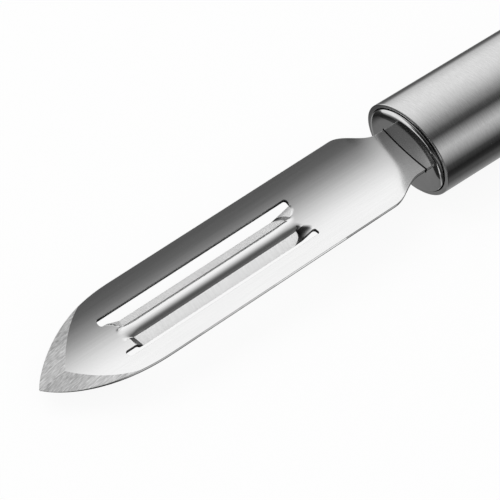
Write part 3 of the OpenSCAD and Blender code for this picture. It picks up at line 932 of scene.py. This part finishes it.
# Levels of the cards above the floor, by Y in millimetres: dark flags on the camera's side, and near the
# object the floor's painted shade and light as the metal reflects it. Those ahead of the cap differ in one
# patch.
DARK_SIDE = [(-400, 0.02), (-60, 0.03)]
OPEN_SIDE = [(0, 0.012), (12, 0.016), (16, 0.05), (20, 0.08), (24, 0.25), (29, 0.5), (34, 0.75), (42, 0.95),
             (400, 0.95)]
AHEAD_STOPS = DARK_SIDE + [(-16, 0.05), (-14.4, 0.5), (-11.5, 0.5), (-10.6, 0.03)] + OPEN_SIDE
BESIDE_STOPS = DARK_SIDE + [(-16.5, 0.05), (-14.8, 0.68), (-11.8, 0.68), (-11, 0.03)] + OPEN_SIDE
MID_STOPS = DARK_SIDE + [(-17, 0.05), (-15.2, 0.92), (-12, 0.92), (-11.2, 0.03)] + OPEN_SIDE
CAP_STOPS = DARK_SIDE + [(-16, 0.02), (-14.8, 0.4), (-12.6, 0.4), (-11.4, 0.02), (0, 0.02), (6, 0.04),
                         (12, 0.055), (16, 0.016), (24, 0.03), (33, 0.06), (60, 0.5), (120, 0.8), (400, 0.8)]
BELOW_STOPS = DARK_SIDE + [(-20, 0.05), (-15.2, 0.12), (-14.6, 0.5), (-13, 0.5), (-12.2, 0.16), (-9, 0.2),
                           (-2, 0.22), (4, 0.2), (11, 0.19), (12.5, 0.17), (14, 0.11), (16, 0.05),
                           (18.5, 0.014), (24, 0.03), (33, 0.06), (60, 0.3), (120, 0.7), (400, 0.75)]
FLOOR_STOPS = [(-400, 0.02), (-120, 0.02), (-60, 0.025), (-38, 0.035), (-24, 0.09), (-19, 0.1),
               (-16.5, 0.16), (-14, 0.21), (-10.4, 0.33), (-8, 0.33), (-5, 0.25), (0, 0.1), (5, 0.14),
               (12, 0.3), (17, 0.38), (22, 0.14), (28, 0.09), (42, 0.2), (72, 0.57), (120, 0.7), (400, 0.75)]
CARDS = {"rear": FLOOR_STOPS, "ahead": AHEAD_STOPS, "below_cap": BELOW_STOPS, "before_cap": CAP_STOPS,
         "middle": MID_STOPS, "beside": BESIDE_STOPS}
CARD_Z = 0.3  # height of the cards above the floor, in millimetres like all their sizes
CARD_END, CARD_SIDE = 8900, 2900  # how far the cards reach along X and Y
CARD_CUTS = (-62, -45, -28, -20, -12)  # where one card ends along X and the next begins
UNDER_END, UNDER_HALF = -8, 9.5  # end and half width of the card's tongue under the cap


def only_in_reflections(ob):
    """Hides a piece of the studio from all but the rays that metal reflects."""
    ob.visible_camera = False
    ob.visible_diffuse = False
    ob.visible_shadow = False
    ob.visible_volume_scatter = False


def make_tent():
    """A large half tent round the X axis: white at the back, dark in front, seen only in the metal."""
    n, places = TENT_PARTS, np.linspace(-TENT_END, TENT_END, TENT_RINGS)
    points, faces = [], []
    for x in places:
        for k in range(n + 1):
            t = math.radians(-TENT_TURN + 2 * TENT_TURN * k / n)
            points.append((x / MM, TENT_R / MM * math.sin(t), TENT_R / MM * math.cos(t)))
    for i in range(len(places) - 1):
        for k in range(n):
            a = i * (n + 1) + k
            faces.append((a, a + 1, a + n + 2, a + n + 1))
    for end in (0, len(places) - 1):
        faces.extend([(end * (n + 1) + k, end * (n + 1) + k + 1, len(points)) for k in range(n)])
        points.append((places[end] / MM, 0, 0))

    mat, tree, glow = emission_material("studio_tent")
    x, y, z = axes(tree)
    limit = math.radians(TENT_TURN)
    turn = spread(tree, calc(tree, "ARCTAN2", y, z), 0.0, 1.0, -limit, limit)
    height = spread(tree, z, 0.0, 1.0, FAR_STOPS[0][0] * TENT_R, FAR_STOPS[-1][0] * TENT_R)
    colour = levels(tree, turn, FRONT_STOPS)
    for start, end, stops in TAKE_OVERS:
        reached = spread(tree, x, 0.0, 1.0, start * TENT_R, end * TENT_R, "SMOOTHSTEP")
        share = height if stops is FAR_STOPS else turn
        colour = blend(tree, reached, colour, levels(tree, share, stops))
    feed(tree, glow, {"Color": colour})
    ob = new_object("studio_tent", points, faces, None, (mat,))
    only_in_reflections(ob)
    return ob


def card_material(name, stops):
    """Levels by Y. The scale is the signed square root of Y, so that it is finest near the object."""
    mat, tree, glow = emission_material(name)
    _, y, _ = axes(tree)
    root = calc(tree, "MULTIPLY", calc(tree, "SQRT", calc(tree, "ABSOLUTE", y)), calc(tree, "SIGN", y))
    rooted = [(math.copysign(math.sqrt(abs(at) * MM), at), level) for at, level in stops]
    share = spread(tree, root, 0.0, 1.0, rooted[0][0], rooted[-1][0])
    feed(tree, glow, {"Color": levels(tree, share, rooted)})
    return mat


def make_floor_flag():
    """Grey cards just over the floor, seen only in the metal, with the floor's shade near the object painted
    in.
    """
    points, faces, looks = [], [], []

    def card(x0, x1, y0, y1, name):
        first = len(points)
        points.extend([(x0, y0, CARD_Z), (x1, y0, CARD_Z), (x1, y1, CARD_Z), (x0, y1, CARD_Z)])
        faces.append((first, first + 1, first + 2, first + 3))
        looks.append(list(CARDS).index(name))

    cuts = (-CARD_END, *CARD_CUTS)
    for x0, x1, name in zip(cuts, cuts[1:], ("ahead", "beside", "middle", "before_cap", "below_cap")):
        card(x0, x1, -CARD_SIDE, CARD_SIDE, name)
    card(cuts[-1], UNDER_END, -UNDER_HALF, UNDER_HALF, "below_cap")
    card(cuts[-1], CARD_END, -CARD_SIDE, -UNDER_HALF, "rear")
    card(cuts[-1], CARD_END, UNDER_HALF, CARD_SIDE, "rear")
    card(UNDER_END, CARD_END, -UNDER_HALF, UNDER_HALF, "rear")
    mats = [card_material("studio_card_" + name, stops) for name, stops in CARDS.items()]
    ob = new_object("studio_floor_card", points, faces, None, mats, looks)
    only_in_reflections(ob)
    return ob


def shown(tree):
    """1 for rays that show a thing directly, in metal or through glass, 0 for those that light the object."""
    path = tree.nodes.new("ShaderNodeLightPath")
    seen = calc(tree, "MAXIMUM", path.outputs["Is Camera Ray"], path.outputs["Is Glossy Ray"])
    return calc(tree, "MAXIMUM", seen, path.outputs["Is Transmission Ray"])


FLOOR_HALF = 6000
FLOOR_GREY = 0.86
FLOOR_WHITE = 0.92  # share of plain white over the lit floor, which leaves a faint shadow
FLOOR_ROUGH = 0.9
WORLD_LIGHT = 0.75
LAMP_SIZE, LAMP_POWER, LAMP_PLACE = (1.6, 1.2), 14.0, (-0.3, 1.1, 1.6)  # metres, watts, metres


def make_floor():
    """A pale floor that shows nearly white and keeps the object's shadow."""
    mat, tree, shader = material("studio_floor")
    feed(tree, shader, {"Base Color": (FLOOR_GREY, FLOOR_GREY, FLOOR_GREY, 1), "Roughness": FLOOR_ROUGH,
                        "Specular IOR Level": 0.0})
    white = tree.nodes.new("ShaderNodeEmission")
    feed(tree, white, {"Color": (1, 1, 1, 1), "Strength": 1.0})
    mix = tree.nodes.new("ShaderNodeMixShader")
    share = calc(tree, "MULTIPLY", shown(tree), FLOOR_WHITE)
    feed(tree, mix, {0: share, 1: shader.outputs[0], 2: white.outputs[0]})
    feed(tree, tree.nodes["Material Output"], {"Surface": mix.outputs[0]})
    half = FLOOR_HALF
    corners = [(-half, -half, 0), (half, -half, 0), (half, half, 0), (-half, half, 0)]
    return new_object("studio_floor", corners, [(0, 1, 2, 3)], None, (mat,))


def make_world():
    """A plain world that lights the object softly and shows as white."""
    world = bpy.data.worlds.new("studio_world")
    bpy.context.scene.world = world
    world.use_nodes = True
    tree = world.node_tree
    tree.nodes.clear()
    sides = []
    for strength in (WORLD_LIGHT, 1.0):
        sides.append(tree.nodes.new("ShaderNodeBackground"))
        feed(tree, sides[-1], {"Color": (1, 1, 1, 1), "Strength": strength})
    mix = tree.nodes.new("ShaderNodeMixShader")
    feed(tree, mix, {0: shown(tree), 1: sides[0].outputs[0], 2: sides[1].outputs[0]})
    feed(tree, tree.nodes.new("ShaderNodeOutputWorld"), {"Surface": mix.outputs[0]})


def make_lamp():
    """One soft lamp above the object, toward +Y, aimed at the origin."""
    lamp = bpy.data.lights.new("studio_key", "AREA")
    lamp.shape = "RECTANGLE"
    lamp.size, lamp.size_y = LAMP_SIZE
    lamp.energy = LAMP_POWER
    ob = bpy.data.objects.new("studio_key", lamp)
    bpy.context.scene.collection.objects.link(ob)
    ob.location = LAMP_PLACE
    ob.rotation_euler = (-ob.location).to_track_quat("-Z", "Y").to_euler()
    ob.visible_glossy = False
    ob.visible_camera = False


make_tent()
make_floor_flag()
make_floor()
make_world()
make_lamp()

# The camera, fitted to the blade's outline, the slots and the ends of the handle's front rim
PICTURE_PIXELS = 500
FOCAL_PIXELS = 3070.4
CAMERA_PLACE = (-302.586, -214.974, 417.528)  # millimetres
CAMERA_ANGLES = (38.5411, -6.8837, -41.3136)  # degrees about X, Y and Z
SENSOR = 36.0

camera = bpy.data.cameras.new("photo_camera")
camera.sensor_fit = "HORIZONTAL"
camera.sensor_width = SENSOR
camera.sensor_height = SENSOR
camera.lens = FOCAL_PIXELS * SENSOR / PICTURE_PIXELS
camera.clip_start, camera.clip_end = 0.02, 30.0
camera_ob = bpy.data.objects.new("photo_camera", camera)
bpy.context.scene.collection.objects.link(camera_ob)
camera_ob.location = [v * MM for v in CAMERA_PLACE]
camera_ob.rotation_euler = [math.radians(angle) for angle in CAMERA_ANGLES]
bpy.context.scene.camera = camera_ob
bpy.context.scene.view_settings.view_transform = "Standard"

bpy.context.view_layer.update()
